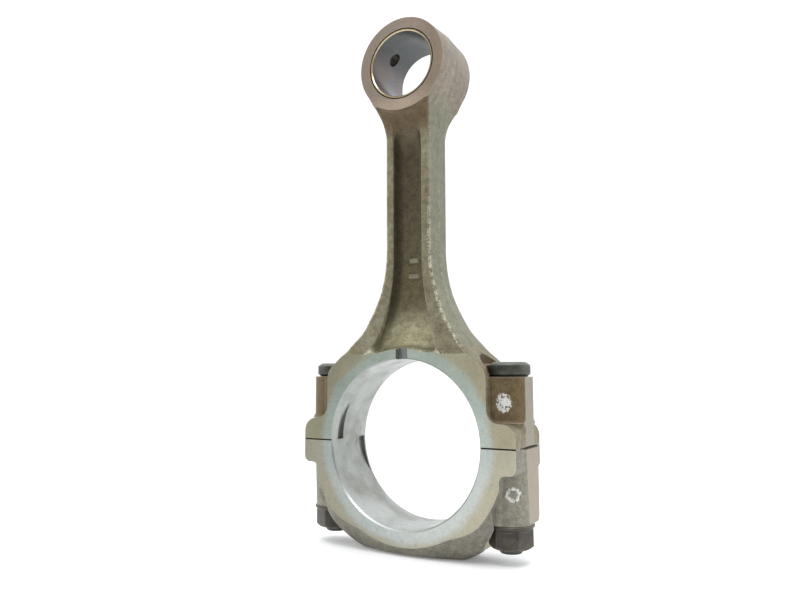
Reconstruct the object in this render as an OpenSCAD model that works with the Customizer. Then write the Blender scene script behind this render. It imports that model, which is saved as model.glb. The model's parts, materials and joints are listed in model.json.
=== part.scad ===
// Two-piece connecting rod: forged rod and cap, small-end bush, two fitted bolts, two flange nuts.
// Origin at the centre of the big-end bore. X runs from bolt to bolt, Y along the bores, Z up the beam.

/* [Bores and faces] */
// Diameter of the big-end housing bore
housing_d = 80; // [76:0.5:82]
// Distance from the big-end centre to the small-end centre
centre_distance = 187; // [180:1:200]
// Width of both ends across their machined faces
face_width = 31.3; // [30:0.1:33]
// Inside diameter of the small-end bush
bush_d = 33; // [30:0.5:34]
// Wall thickness of the small-end bush
bush_wall = 1.5; // [1.2:0.1:2.5]
// Outside diameter of the small-end eye at its faces
eye_d = 47; // [45:0.5:50]
// Extra eye radius on the forging's middle plane, from draft
eye_crown = 0.9; // [0.3:0.1:1.2]
// Diameter of the oil hole through the eye and the bush
oil_hole_d = 7; // [4:0.5:8]
// Angle of the oil hole, anticlockwise from +X
oil_hole_angle = 140; // [100:5:150]

/* [Beam] */
// Width of the I-beam across its flanges
beam_w = 25; // [23:0.5:27]
// Depth of the flanges, front to back
beam_t = 19.6; // [18:0.2:21]
// Thickness of the web between the two recesses
web_t = 7; // [5:0.5:9]
// Half width of the recess along the beam
recess_half_w = 8; // [7:0.25:9]
// Height of the recess top above the big-end centre
recess_top_z = 159; // [156:1:160]
// Radius of the flare from the beam to the shoulders
flare_r = 75; // [72:1:78]
// Height at which the flare starts
flare_z = 95; // [93:1:97]
// Radius of the neck under the small end
neck_r = 40; // [36:1:44]

/* [Big end] */
// Half width of the shoulders above the lugs
shoulder_x = 43.2; // [42.5:0.1:44]
// Height where the machined faces stop on the rod
machined_top_z = 42; // [40:0.5:44]
// Half width over the machined sides of the lugs
lug_x = 58; // [57:0.5:60]
// Height of the rod's lugs above the split line
lug_h = 10.7; // [9:0.1:12]
// Depth of the cap's lugs below the split line
cap_lug_h = 11.8; // [10:0.1:13]
// Outer radius of the thrust ring on the rod
ring_r = 46.5; // [45:0.5:47.5]
// Outer radius of the cap's machined face beside the bore
cap_face_r = 51.5; // [50:0.5:52]
// Outer radius of the cap's rib
cap_rib_r = 59.3; // [58:0.1:60]
// Thickness of the cap's rib
cap_rib_t = 21; // [19:0.5:23]
// Distance from the big-end centre down to the flat foot
foot_z = 52; // [51:0.5:53]
// Width of the oil slot in the front face
slot_w = 6.4; // [5:0.2:8]
// Depth of the oil slot
slot_depth = 3; // [2:0.5:4]
// Width of the locating notches for the bearing shells
notch_w = 5; // [4:0.5:6]

/* [Bolts and nuts] */
// Half distance between the two bolt axes
bolt_x = 48; // [47.8:0.1:49]
// Shank diameter of the bolts
bolt_d = 12; // [10:0.5:12]
// Radial clearance round the shanks
bolt_clearance = 0.05; // [0.02:0.01:0.1]
// Radius of the round bosses that carry the bolts
boss_r = 11.3; // [11:0.1:12]
// Height of the bolt seats above the split line
bolt_seat_z = 31.5; // [31:0.1:32]
// Depth of the nut seats below the split line
nut_seat_z = 34; // [33:0.5:34.5]
// Thickness of the bolt heads
head_h = 6.8; // [6:0.2:7.5]
// Radius of the bolt heads
head_r = 10.2; // [9.5:0.1:10.5]
// Distance of the flat on a bolt head from its axis
head_flat = 6.6; // [6.2:0.1:7]
// Length of bolt below the nut seat
bolt_tail = 13.5; // [12:0.5:14.5]
// Nut size across flats
nut_af = 18; // [17:0.5:18]
// Nut height with its flange
nut_h = 11; // [10:0.5:12]
// Flange diameter of the nuts
flange_d = 21.8; // [21.6:0.2:22.4]
// Angle at which the left nut's hexagon stands when tight
left_nut_turn = 30; // [0:5:60]
// Angle at which the right nut's hexagon stands when tight
right_nut_turn = 0; // [0:5:60]

/* [Hidden] */
$fn = 96;
steps = 10;
over = 1;
block = 200;
housing_r = housing_d / 2;
eye_r = eye_d / 2;
bush_outer_r = bush_d / 2 + bush_wall;
half_w = beam_w / 2;
hole_r = bolt_d / 2 + bolt_clearance;
corner_r = 8;
lug_corner_r = 6;
lug_fillet_r = 6.2;
blend_t = 24;
blend_top_z = 58;
neck_t = 25;
neck_block_z = 158;
flange_h = 2.2;
spotface_r = 12;
nut_spotface_r = 12.5;
head_ledge_z = bolt_seat_z + 6;
head_wall = head_flat + 0.4;
recess_r = 105;
recess_flare_z = 90;
recess_corner_z = 54.5;
recess_corner_r = 5;
recess_floor_r = 49;
cap_step_z = 38.4;
cap_bottom_r = 47.7;
notch_depth = 1.8;
notch_r = 29.6;
rod_notch_y = -8.5;
cap_notch_y = 11.2;
mark_z = 85;
mark_h = 0.5;

// Neck arc: tangent to the beam's side and to the eye
neck_x = half_w + neck_r;
neck_z = centre_distance - sqrt(pow(neck_r + eye_r, 2) - pow(neck_x, 2));
neck_end = atan2(centre_distance - neck_z, -neck_x);

// Flare arc: tangent to the beam's side, and rounded into the shoulder
flare_x = half_w + flare_r;
corner_x = shoulder_x - corner_r;
corner_z = flare_z - sqrt(pow(flare_r + corner_r, 2) - pow(flare_x - corner_x, 2));
corner_end = atan2(flare_z - corner_z, flare_x - corner_x);

function arc(cx, cy, r, a0, a1) =
    [for (i = [0 : steps]) let (a = a0 + (a1 - a0) * i / steps) [cx + r * cos(a), cy + r * sin(a)]];
function mirrored(points) = [for (i = [len(points) - 1 : -1 : 0]) [-points[i][0], points[i][1]]];
function flare_angle(z) = 180 + asin((flare_z - z) / flare_r);

// Right-hand edge of the forging from the split line up to the eye
edge = concat(
    [[shoulder_x, 0]],
    arc(corner_x, corner_z, corner_r, 0, corner_end),
    arc(flare_x, flare_z, flare_r, 180 + corner_end, 180),
    arc(neck_x, neck_z, neck_r, 180, neck_end));

// Right-hand edge of the full-width big end, with the lug
machined_edge = concat(
    [[lug_x, 0]],
    arc(lug_x - lug_corner_r, lug_h - lug_corner_r, lug_corner_r, 0, 90),
    arc(shoulder_x + lug_fillet_r, lug_h + lug_fillet_r, lug_fillet_r, 270, 180),
    arc(corner_x, corner_z, corner_r, 0, corner_end),
    arc(flare_x, flare_z, flare_r, 180 + corner_end, flare_angle(machined_top_z)));

// Right-hand edge of the flare between two heights
function flare_band(z0, z1) = arc(flare_x, flare_z, flare_r, flare_angle(z0), flare_angle(z1));

// Right-hand edge of a recess, from its floor by the ring up to its rounded top
recess_drop = asin((recess_flare_z - recess_corner_z) / recess_r);
recess_edge = concat(
    arc(0, 0, recess_floor_r, 90, 75),
    arc(recess_half_w + recess_r, recess_flare_z, recess_r, 180 + recess_drop, 180),
    arc(recess_half_w - recess_corner_r, recess_top_z - recess_corner_r, recess_corner_r, 0, 90));

// Stands an outline up in the X-Z plane, centred on Y
module plate(points, t) {
    rotate([90, 0, 0]) linear_extrude(t, center = true) polygon(points);
}

module symmetric_plate(points, t) {
    plate(concat(points, mirrored(points)), t);
}

// A cylinder along Y
module y_cylinder(r, h, x = 0, z = 0, y = 0) {
    translate([x, y, z]) rotate([90, 0, 0]) cylinder(r = r, h = h, center = true);
}

module both_sides() {
    children();
    mirror([1, 0, 0]) children();
}

// The eye is widest on the middle plane
module eye() {
    translate([0, 0, centre_distance]) rotate([90, 0, 0]) rotate_extrude()
        polygon([[0, -face_width / 2], [eye_r, -face_width / 2], [eye_r + eye_crown, 0],
                 [eye_r, face_width / 2], [0, face_width / 2]]);
}

module oil_hole() {
    translate([0, 0, centre_distance]) rotate([0, 90 - oil_hole_angle, 0])
        cylinder(d = oil_hole_d, h = eye_d);
}

// A round bolt boss with its outer side milled flat
module boss(z0, h) {
    intersection() {
        translate([bolt_x, 0, z0]) cylinder(r = boss_r, h = h);
        translate([0, -face_width / 2, z0]) cube([lug_x, face_width, h]);
    }
}

// A bolt hole from below the nut seat up past the ledge beside the bolt head
module bolt_hole() {
    translate([bolt_x, 0, -nut_seat_z - over]) cylinder(r = hole_r, h = nut_seat_z + head_ledge_z + 2 * over);
}

// Room for a bolt head: open outside the shoulder, a round pocket with a flat wall beside the
// head's flat, and a round scoop above that wall's ledge
module head_room() {
    translate([shoulder_x, -face_width, bolt_seat_z]) cube([lug_x, 2 * face_width, 3 * head_h]);
    translate([bolt_x, 0, bolt_seat_z]) intersection() {
        cylinder(r = spotface_r, h = head_ledge_z - bolt_seat_z + over);
        translate([-head_wall, -face_width, -over]) cube([lug_x, 2 * face_width, 3 * head_h]);
    }
    translate([bolt_x, 0, head_ledge_z]) cylinder(r = spotface_r, h = 2 * head_h);
}

module recesses() {
    for (side = [-1, 1])
        translate([0, side * (web_t / 2 + face_width / 2), 0]) symmetric_plate(recess_edge, face_width);
}

// Raised forging marks on the web: one bar and two dots
module forging_marks() {
    y0 = -web_t / 2 + over;
    translate([1, y0, mark_z]) rotate([90, 0, 0]) {
        translate([-2.5, 2.5, 0]) cube([5, 1.4, mark_h + over]);
        for (x = [-1.5, 1.5]) translate([x, -1.5, 0]) cylinder(d = 1.6, h = mark_h + over);
    }
}

// A notch that locates a bearing shell's tang, deepest at the split line
module shell_notch(y) {
    y_cylinder(notch_r, notch_w, x = notch_r - housing_r - notch_depth, y = y);
}

// Beam, flare and neck, with the recesses sunk in both faces
module beam() difference() {
    union() {
        symmetric_plate(edge, beam_t);
        symmetric_plate(flare_band(machined_top_z - over, blend_top_z), blend_t);
        intersection() {
            symmetric_plate(edge, neck_t);
            translate([-eye_d, -face_width, neck_block_z]) cube([2 * eye_d, 2 * face_width, eye_d]);
        }
    }
    recesses();
}

// The forging cut at the split line and bored at both ends
module bored_forging() difference() {
    union() {
        beam();
        symmetric_plate(machined_edge, face_width);
        y_cylinder(ring_r, face_width);
        eye();
        both_sides() boss(0, bolt_seat_z);
        forging_marks();
    }
    translate([-block / 2, -block / 2, -block]) cube(block);
    y_cylinder(housing_r, face_width + 2 * over);
    y_cylinder(bush_outer_r, face_width + 2 * over, z = centre_distance);
}

module oil_slot() {
    translate([-slot_w / 2, -face_width / 2 - over, housing_r - over])
        cube([slot_w, slot_depth + over, ring_r - housing_r + 2 * over]);
}

module rod() color("#8f8877") difference() {
    bored_forging();
    oil_slot();
    oil_hole();
    shell_notch(rod_notch_y);
    both_sides() bolt_hole();
    both_sides() head_room();
}

// The cap's machined faces, wider beside the bore than under it
module cap_faces() {
    y_cylinder(cap_bottom_r, face_width);
    intersection() {
        y_cylinder(cap_face_r, face_width);
        translate([-block / 2, -block / 2, -cap_step_z]) cube([block, block, cap_step_z]);
    }
}

module cap_lug() {
    plate([[housing_r - over, 0], [lug_x, 0], [lug_x, -cap_lug_h + 3], [lug_x - 4, -cap_lug_h],
           [housing_r - over, -cap_lug_h - 5]], face_width);
}

// Room for a nut under its seat
module nut_room() {
    translate([bolt_x, 0, -foot_z - over]) cylinder(r = nut_spotface_r, h = foot_z - nut_seat_z + over);
}

module cap() color("#9d9a88") difference() {
    union() {
        intersection() {
            y_cylinder(cap_rib_r, cap_rib_t);
            translate([-shoulder_x, -block / 2, -foot_z]) cube([2 * shoulder_x, block, foot_z]);
        }
        cap_faces();
        both_sides() cap_lug();
        both_sides() boss(-nut_seat_z, nut_seat_z);
    }
    translate([-block / 2, -block / 2, 0]) cube(block);
    y_cylinder(housing_r, face_width + 2 * over);
    both_sides() bolt_hole();
    both_sides() nut_room();
    shell_notch(cap_notch_y);
}

module small_end_bush() color("#b7a878") difference() {
    y_cylinder(bush_outer_r, face_width, z = centre_distance);
    y_cylinder(bush_d / 2, face_width + 2 * over, z = centre_distance);
    oil_hole();
}

// A fitted bolt with a D-shaped head whose flat faces the shoulder
module bolt() {
    translate([0, 0, -nut_seat_z - bolt_tail]) cylinder(d = bolt_d, h = bolt_seat_z + nut_seat_z + bolt_tail);
    intersection() {
        translate([0, 0, bolt_seat_z]) cylinder(r = head_r, h = head_h);
        translate([-head_flat, -face_width, bolt_seat_z]) cube([face_width, 2 * face_width, head_h]);
    }
}

// A hexagon nut on a round flange, with its seat at the top, tightened to an angle
module nut(turn) difference() {
    union() {
        translate([0, 0, -nut_seat_z - flange_h]) cylinder(d = flange_d, h = flange_h);
        translate([0, 0, -nut_seat_z - nut_h]) rotate([0, 0, turn])
            cylinder(r = nut_af / sqrt(3), h = nut_h - over, $fn = 6);
    }
    translate([0, 0, -nut_seat_z - nut_h - over]) cylinder(r = hole_r, h = nut_h + 2 * over);
}

module right_bolt() color("#5a625c") translate([bolt_x, 0, 0]) bolt();
module left_bolt() color("#5a625c") mirror([1, 0, 0]) translate([bolt_x, 0, 0]) bolt();
module right_nut() color("#4f4a42") translate([bolt_x, 0, 0]) nut(right_nut_turn);
module left_nut() color("#4f4a42") mirror([1, 0, 0]) translate([bolt_x, 0, 0]) nut(left_nut_turn);

rod();
cap();
small_end_bush();
left_bolt();
right_bolt();
left_nut();
right_nut();
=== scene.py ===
# %% [markdown]
# # A forged connecting rod, made the way a forge and a machine shop make it
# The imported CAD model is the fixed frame: it says where every bore, bolt and face is, and it is
# what moves in the simulator. This script puts a detailed surface around each of its solids.
# The order copies the real work. First a raw forging is pressed, with drafted sides, soft edges
# and a parting line. Then cutters mill and bore it, and leave crisp edges and bright faces.
# %% Load the frame
import json
import bmesh
import bpy
import numpy as np
from mathutils import Matrix, Vector


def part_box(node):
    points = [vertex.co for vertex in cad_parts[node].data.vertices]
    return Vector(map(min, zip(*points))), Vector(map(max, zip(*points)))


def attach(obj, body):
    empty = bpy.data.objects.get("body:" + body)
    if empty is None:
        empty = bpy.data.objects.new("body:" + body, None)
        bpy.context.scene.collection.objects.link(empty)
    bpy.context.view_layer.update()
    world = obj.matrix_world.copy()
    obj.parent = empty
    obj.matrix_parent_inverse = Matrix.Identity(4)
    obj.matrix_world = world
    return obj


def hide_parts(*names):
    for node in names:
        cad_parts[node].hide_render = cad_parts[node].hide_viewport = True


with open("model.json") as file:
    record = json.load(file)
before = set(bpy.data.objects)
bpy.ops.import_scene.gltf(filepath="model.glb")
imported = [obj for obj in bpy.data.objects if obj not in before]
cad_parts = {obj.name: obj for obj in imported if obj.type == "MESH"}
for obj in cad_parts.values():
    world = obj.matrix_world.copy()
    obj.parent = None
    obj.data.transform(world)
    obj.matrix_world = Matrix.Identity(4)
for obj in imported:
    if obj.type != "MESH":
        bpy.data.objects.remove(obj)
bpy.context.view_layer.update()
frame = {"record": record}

# %% [markdown]
# ## Sizes
# All lengths in this script are millimetres, and MM turns them into Blender's metres at the last
# moment. The sizes that matter for fit are read from the frame, so the looks can't drift from it.
# %% Read the driving sizes from the frame
MM = 0.001
mounts = {m["name"]: m for m in frame["record"]["mounts"]}


def box_mm(node):
    """Lowest and highest corner of a CAD node, in millimetres."""
    low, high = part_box(node)
    return np.array(low) / MM, np.array(high) / MM


HOUSING_R = mounts["big_end_bore"]["dims"]["r_mm"]
BUSH_R = mounts["small_end_bore"]["dims"]["r_mm"]
FACE_Y = mounts["big_end_bore"]["dims"]["length_mm"] / 2
EYE_Z = mounts["small_end_bore"]["pos_m"][2] / MM
FOOT_Z = mounts["foot"]["pos_m"][2] / MM
BUSH_OUTER_R = box_mm("small_end_bush")[1][0]
EYE_MID_R = box_mm("rod")[1][2] - EYE_Z
LUG_X = box_mm("rod")[1][0]
BOLT_TIP_Z, BOLT_TOP_Z = box_mm("right_bolt")[0][2], box_mm("right_bolt")[1][2]
NUT_BOTTOM_Z, NUT_SEAT_Z = box_mm("right_nut")[0][2], box_mm("right_nut")[1][2]
FLANGE_R = (box_mm("right_nut")[1][1] - box_mm("right_nut")[0][1]) / 2
BOLT_X = box_mm("right_nut")[1][0] - FLANGE_R
HEAD_R = box_mm("right_bolt")[1][1]
BOLT_R = 6.0
HOLE_R = BOLT_R + 0.05
SEAT_Z = 31.5
FAR = 80.0
print("bore", HOUSING_R, "bush", BUSH_R, "face", FACE_Y, "eye", EYE_Z, EYE_MID_R)
print("bolts at", BOLT_X, "heads", HEAD_R)

# %% [markdown]
# ## Tools for outlines
# A forging's edge is a chain of straight lines and arcs that run smoothly into each other. The
# chain is worked out as points, and then walked at any distances wanted: each stop gives a point
# and the direction that faces out of the metal there.
# %% Arcs, chains and walks


def arc(cx, cz, radius, start, end, step=0.15):
    """Points on a circle round (cx, cz) from one angle to another, in degrees."""
    count = max(3, int(abs(np.radians(end - start)) * radius / step) + 1)
    angle = np.radians(np.linspace(start, end, count))
    return np.stack([cx + radius * np.cos(angle), cz + radius * np.sin(angle)], 1)


def line(x0, z0, x1, z1, step=0.15):
    """Evenly spaced points on a straight line."""
    count = max(2, int(np.hypot(x1 - x0, z1 - z0) / step) + 1)
    return np.linspace([x0, z0], [x1, z1], count)


def chain(*parts):
    """Joins outlines end to end and drops points that repeat."""
    points = np.concatenate(parts)
    step = np.hypot(*np.diff(points, axis=0).T)
    return points[np.concatenate([[True], step > 1e-4])]


class Walk:
    """An outline with its running length: any stop on it gives a point and an outward normal."""

    def __init__(self, points, side=1.0):
        self.points = points
        self.length = np.concatenate([[0], np.cumsum(np.hypot(*np.diff(points, axis=0).T))])
        along = np.gradient(points, self.length, axis=0)
        along /= np.hypot(*along.T)[:, None]
        self.normals = side * np.stack([along[:, 1], -along[:, 0]], 1)

    def stops(self, distances):
        at = lambda values: np.interp(distances, self.length, values)
        points = np.stack([at(self.points[:, 0]), at(self.points[:, 1])], 1)
        normals = np.stack([at(self.normals[:, 0]), at(self.normals[:, 1])], 1)
        return points, normals / np.hypot(*normals.T)[:, None]


def ramp(value, start, end):
    """0 at start, 1 at end, with a smooth S between them."""
    t = np.clip((value - start) / (end - start), 0, 1)
    return t * t * (3 - 2 * t)


def soft_max(a, b, size):
    """The larger of two heights, with a fillet about as wide as size where they cross."""
    h = np.clip(0.5 + 0.5 * (a - b) / size, 0, 1)
    return b + (a - b) * h + size * h * (1 - h)


def soft_min(a, b, size):
    return -soft_max(-a, -b, size)


print("a quarter circle of radius 2 has length", round(Walk(arc(0, 0, 2, 0, 90)).length[-1], 3))

# %% [markdown]
# ## Tools for meshes
# Every surface here is a grid: an array of points with rows and columns. Closed rings of points
# stacked in rows make a tube, and its two ends are closed with a flat face. A Boolean modifier
# then does what a milling cutter does. Blender's Manifold solver is quick and keeps each face's
# material, so cut faces can carry a different finish from the raw skin.
# %% Grids, turned parts and cutting
RAW, GROUND, BORED, DRILLED = 0, 1, 2, 3


def mesh_piece(name, points, faces, finish=RAW):
    """A mesh object from points in millimetres; doubles are merged and faces turned outwards."""
    mesh = bpy.data.meshes.new(name)
    mesh.from_pydata((np.asarray(points) * MM).tolist(), [], faces)
    piece = bpy.data.objects.new(name, mesh)
    bpy.context.scene.collection.objects.link(piece)
    for _ in range(4):
        mesh.materials.append(None)
    work = bmesh.new()
    work.from_mesh(mesh)
    bmesh.ops.remove_doubles(work, verts=work.verts, dist=2e-6)
    bmesh.ops.dissolve_degenerate(work, edges=work.edges, dist=1e-7)
    bmesh.ops.recalc_face_normals(work, faces=work.faces)
    for face in work.faces:
        face.material_index = finish
        face.smooth = True
    work.to_mesh(mesh)
    work.free()
    return piece


def grid_piece(name, grid, finish=RAW, ends=True, ring=False):
    """A tube from a grid of rows by columns by xyz. Columns close on themselves. Rows either end in
    flat caps or, for a ring, close too."""
    rows, columns = grid.shape[:2]
    index = np.arange(rows * columns).reshape(rows, columns)
    low = index if ring else index[:-1]
    high = np.roll(index, -1, 0) if ring else index[1:]
    quads = np.stack([low, np.roll(low, -1, 1), np.roll(high, -1, 1), high], -1).reshape(-1, 4)
    faces = quads.tolist()
    if ends and not ring:
        faces += [index[0, ::-1].tolist(), index[-1].tolist()]
    return mesh_piece(name, grid.reshape(-1, 3), faces, finish)


def turned(name, profile, axis="Y", centre=(0, 0, 0), count=128, finish=BORED, ring=False, start=0.0):
    """A profile of (radius, height) carried round an axis. A ring's profile is closed."""
    radius, height = np.asarray(profile, float).T
    angle = start + np.linspace(0, 2 * np.pi, count, endpoint=False)
    a, b = np.outer(radius, np.cos(angle)), np.outer(radius, np.sin(angle))
    along = np.repeat(height[:, None], count, 1)
    xyz = {"Y": (a, along, b), "Z": (a, b, along), "X": (along, a, b)}[axis]
    return grid_piece(name, np.stack(xyz, -1) + np.array(centre), finish, ends=True, ring=ring)


def block(name, low, high, finish=GROUND):
    """A cutter with flat sides."""
    corners = np.array([[x, y, z] for x in (low[0], high[0]) for y in (low[1], high[1])
                        for z in (low[2], high[2])])
    sides = [(0, 1, 3, 2), (4, 6, 7, 5), (0, 4, 5, 1), (2, 3, 7, 6), (0, 2, 6, 4), (1, 5, 7, 3)]
    return mesh_piece(name, corners, sides, finish)


def machine(piece, cutter, how="DIFFERENCE"):
    """Cuts with, joins or keeps what is inside another solid, and throws the tool away."""
    step = piece.modifiers.new("machine", "BOOLEAN")
    step.operation, step.solver, step.object = how, "MANIFOLD", cutter
    bpy.context.view_layer.update()
    made = bpy.data.meshes.new_from_object(piece.evaluated_get(bpy.context.evaluated_depsgraph_get()))
    piece.modifiers.clear()
    old, piece.data = piece.data, made
    made.name = old.name
    bpy.data.meshes.remove(old)
    tool = cutter.data
    bpy.data.objects.remove(cutter)
    bpy.data.meshes.remove(tool)
    return piece


def crisp(piece, degrees=28):
    """Smooth shading, but with a hard edge where faces meet at an angle or the finish changes."""
    mesh = piece.data
    work = bmesh.new()
    work.from_mesh(mesh)
    bmesh.ops.remove_doubles(work, verts=work.verts, dist=1e-6)
    limit = np.radians(degrees)
    for edge in work.edges:
        finishes = {face.material_index for face in edge.link_faces}
        closed = len(edge.link_faces) == 2
        edge.smooth = closed and len(finishes) == 1 and edge.calc_face_angle(0) < limit
    for face in work.faces:
        face.smooth = True
    open_edges = sum(len(edge.link_faces) != 2 for edge in work.edges)
    work.to_mesh(mesh)
    work.free()
    print(piece.name, len(mesh.polygons), "faces,", open_edges, "open edges")
    return piece


# %% [markdown]
# ## The camera
# The rod stands on the flat under its cap. It is seen from its front right, from a little above
# the big end, with a lens that takes in the whole height. The view transform is the
# plain one, so a finish keeps the colour that it is given.
# %% Camera
CAMERA_PLACE = (168.99, -309.61, 34.43)
CAMERA_TURN, CAMERA_RISE, CAMERA_ROLL = np.radians([29.988, 5.708, -0.13])
camera = bpy.data.objects.new("camera", bpy.data.cameras.new("camera"))
camera.data.lens = 31.8
camera.data.sensor_width = 36.0
camera.data.clip_start = 0.01
level = np.cos(CAMERA_RISE)
ahead = Vector((-np.sin(CAMERA_TURN) * level, np.cos(CAMERA_TURN) * level, np.sin(CAMERA_RISE)))
turn = ahead.to_track_quat("-Z", "Y").to_matrix().to_4x4() @ Matrix.Rotation(CAMERA_ROLL, 4, "Z")
camera.matrix_world = Matrix.Translation(Vector(CAMERA_PLACE) * MM) @ turn
bpy.context.scene.collection.objects.link(camera)
bpy.context.scene.camera = camera
bpy.context.scene.view_settings.view_transform = "Standard"
print("camera", [round(c, 3) for c in camera.location])

# %% [markdown]
# ## The floor and the light
# The surroundings are a white studio: brightest behind and above, dimmer on the camera's side, as
# a room is. That makes the sides of the rod brighter than its front, which gives the forging its
# depth. Four soft lamps fill the bores and the top of the eye. The floor is staged, so it is in
# the picture and not in the part.
# %% Floor, studio walls of light, and lamps
FLOOR_HALF, FLOOR_T = 3000, 4


def add(tree, kind, inputs=None, **settings):
    """A node with its settings, whose inputs take a value or another node's socket."""
    made = tree.nodes.new(kind)
    for name, value in settings.items():
        setattr(made, name, value)
    for name, value in (inputs or {}).items():
        if isinstance(value, bpy.types.NodeSocket):
            tree.links.new(value, made.inputs[name])
        else:
            made.inputs[name].default_value = value
    return made


def calc(tree, operation, a, b=0.0, clamp=False):
    """One Math node's result."""
    return add(tree, "ShaderNodeMath", {0: a, 1: b}, operation=operation, use_clamp=clamp).outputs[0]


def fade(tree, value, start, end):
    """A smooth mask: 0 where value is at start, 1 where it is at end."""
    return add(tree, "ShaderNodeMapRange", {"Value": value, "From Min": start, "From Max": end},
               interpolation_type="SMOOTHSTEP").outputs[0]


def mix(tree, factor, a, b, how="MIX"):
    """A blend of two colours."""
    return add(
        tree, "ShaderNodeMix", {0: factor, 6: a, 7: b}, data_type="RGBA", blend_type=how).outputs[2]


corners = FLOOR_HALF * np.array([(-1, -1), (1, -1), (1, 1), (-1, 1)])
floor = grid_piece("floor", np.array([[(x, y, z) for x, y in corners]
                                      for z in (FOOT_Z - FLOOR_T, FOOT_Z)], float))
floor_paint = bpy.data.materials.new("floor_paint")
floor_paint.use_nodes = True
paint = floor_paint.node_tree.nodes["Principled BSDF"].inputs
paint["Base Color"].default_value = (0.93, 0.94, 0.95, 1)
paint["Roughness"].default_value = 0.6
paint["Emission Color"].default_value = (1, 1, 1, 1)
paint["Emission Strength"].default_value = 0.14
floor.data.materials.clear()
floor.data.materials.append(floor_paint)

studio = bpy.data.worlds.new("studio")
studio.use_nodes = True
bpy.context.scene.world = studio
sky = studio.node_tree
toward = add(sky, "ShaderNodeSeparateXYZ", {0: add(sky, "ShaderNodeTexCoord").outputs["Generated"]})
behind = calc(sky, "MULTIPLY", toward.outputs[1], 0.8)
depth = calc(sky, "SUBTRACT", behind, calc(sky, "MULTIPLY", toward.outputs[0], 0.3))
above = calc(sky, "MULTIPLY", fade(sky, toward.outputs[2], 0.2, 0.9), 0.4)
glow = calc(sky, "ADD", fade(sky, depth, -0.6, 0.55), above)
strength = calc(sky, "ADD", calc(sky, "MULTIPLY", glow, 0.87), 0.24)
sky.nodes["Background"].inputs["Color"].default_value = (0.98, 0.99, 1.0, 1.0)
sky.links.new(strength, sky.nodes["Background"].inputs["Strength"])


def lamp(name, place, aim, size, power):
    """A square soft lamp at a place, pointed at a spot, both in millimetres."""
    made = bpy.data.objects.new(name, bpy.data.lights.new(name, "AREA"))
    made.data.size, made.data.energy = size * MM, power
    made.location = Vector(place) * MM
    made.rotation_euler = (Vector(aim) - Vector(place)).to_track_quat("-Z", "Y").to_euler()
    bpy.context.scene.collection.objects.link(made)


lamp("top_lamp", (-250, 150, 900), (0, 0, 60), 900, 3.0)
lamp("left_lamp", (-800, -350, 350), (0, 0, 60), 500, 2.0)
lamp("right_lamp", (800, 250, 300), (0, 0, 60), 500, 2.0)
lamp("key_lamp", (160, -190, 520), (-30, -15, -30), 220, 1.2)

# %% [markdown]
# ## The rod's raw forging
# A forging die has two halves, and the rod is alike left and right, so only a quarter of it needs
# a shape. Its plan comes first: a chain of lines and arcs that touch without a corner. The lug,
# the shoulder, the wide flare, the straight beam, the neck and the eye follow each other.
# %% The rod's outline, from the lug up the flare, the beam and the neck to the top of the eye
EYE_R = 23.5
BEAM_X, SHOULDER_X, LUG_FRONT_X, LUG_TOP = 12.5, 43.2, 57.0, 10.7
LUG_CORNER, LUG_FILLET, SHOULDER_CORNER, FLARE_R, NECK_R = 6.5, 6.2, 8.0, 75.0, 40.0
FLARE_Z = 95.0
flare_x, neck_x = BEAM_X + FLARE_R, BEAM_X + NECK_R
neck_z = EYE_Z - np.sqrt((NECK_R + EYE_R) ** 2 - neck_x ** 2)
corner_x = SHOULDER_X - SHOULDER_CORNER
corner_z = FLARE_Z - np.sqrt((FLARE_R + SHOULDER_CORNER) ** 2 - (flare_x - corner_x) ** 2)
corner_end = np.degrees(np.arctan2(FLARE_Z - corner_z, flare_x - corner_x))
neck_end = np.degrees(np.arctan2(EYE_Z - neck_z, neck_x))
rod_edge = Walk(chain(
    line(LUG_FRONT_X, 0, LUG_FRONT_X, LUG_TOP - LUG_CORNER),
    arc(LUG_FRONT_X - LUG_CORNER, LUG_TOP - LUG_CORNER, LUG_CORNER, 0, 90),
    arc(SHOULDER_X + LUG_FILLET, LUG_TOP + LUG_FILLET, LUG_FILLET, 270, 180),
    line(SHOULDER_X, LUG_TOP + LUG_FILLET, SHOULDER_X, corner_z),
    arc(corner_x, corner_z, SHOULDER_CORNER, 0, corner_end),
    arc(flare_x, FLARE_Z, FLARE_R, 180 + corner_end, 180),
    line(BEAM_X, FLARE_Z, BEAM_X, neck_z),
    arc(neck_x, neck_z, NECK_R, 180, 180 - neck_end),
    arc(0, EYE_Z, EYE_R, -neck_end, 90)))
print("outline length", round(rod_edge.length[-1], 1), "neck arc", round(neck_end, 1), "degrees")

# %% [markdown]
# ## The die's depth
# Each half of the die gives the metal's thickness at every spot of the plan, so half the rod is
# a height over the X-Z plane. Flanges, ring and eye are joined by fillets, and the recess is cut
# down to the web with a steep drafted wall, because a die needs draft to let the forging go.
# %% The thickness of the forging at every spot
RING_R = 46.6
RECESS_HALF, RECESS_TOP, RECESS_FLARE_R, RECESS_FLARE_Z = 8.0, 159.0, 105.0, 90.0
FLANGE_T, WEB_T, RECESS_FILLET, STOCK = 9.8, 3.5, 4.8, 2.0
WALL_SLOPE, EYE_SLOPE = 8.1, 3.0
EDGE_ROUND = 0.9
RAW_T = FACE_Y + STOCK


def flange_thickness(z):
    """Half depth of the flanges: even along the beam, growing towards both ends."""
    low_end = 1.8 * ramp(z, 75, 55) + 3.7 * ramp(z, 54, 43) + 2.35 * ramp(z, 43.5, 38)
    return FLANGE_T + low_end + 3.6 * ramp(z, 150, 168) + 4.3 * ramp(z, 159, 175)


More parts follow.
